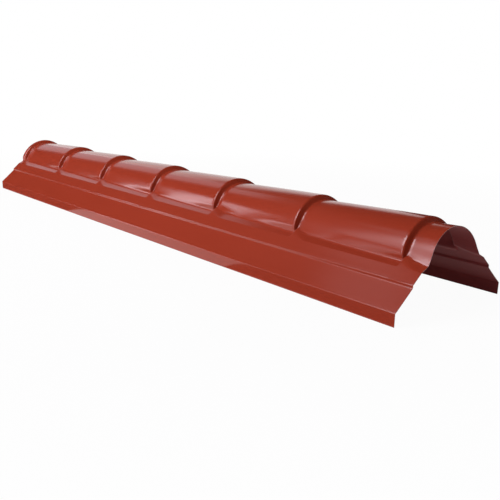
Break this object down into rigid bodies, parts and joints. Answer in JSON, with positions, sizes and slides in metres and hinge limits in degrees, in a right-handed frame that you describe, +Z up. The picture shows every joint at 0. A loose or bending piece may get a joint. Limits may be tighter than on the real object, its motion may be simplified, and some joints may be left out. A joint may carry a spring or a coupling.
{
  "type": "ridge tile",
  "caption": "Long half-round sheet-steel ridge cap with a stepped crown like overlapping barrel tiles and sloping side flanges, each with a small jog along it.",
  "frame": {"origin": "midway along the cap, on its centre plane, level with the bottom edges of the two lips", "axes": "+X along the ridge, from the lead end (high rim, laps over the next cap) to the collar end (low, goes under); +Y across it; +Z up"},
  "size_m": [1.94, 0.3556, 0.1816],
  "materials": {
    "coated_steel": "satin"
  },
  "bodies": {
    "root": {"ridge_cap": "coated_steel"}
  },
  "joints": []
}
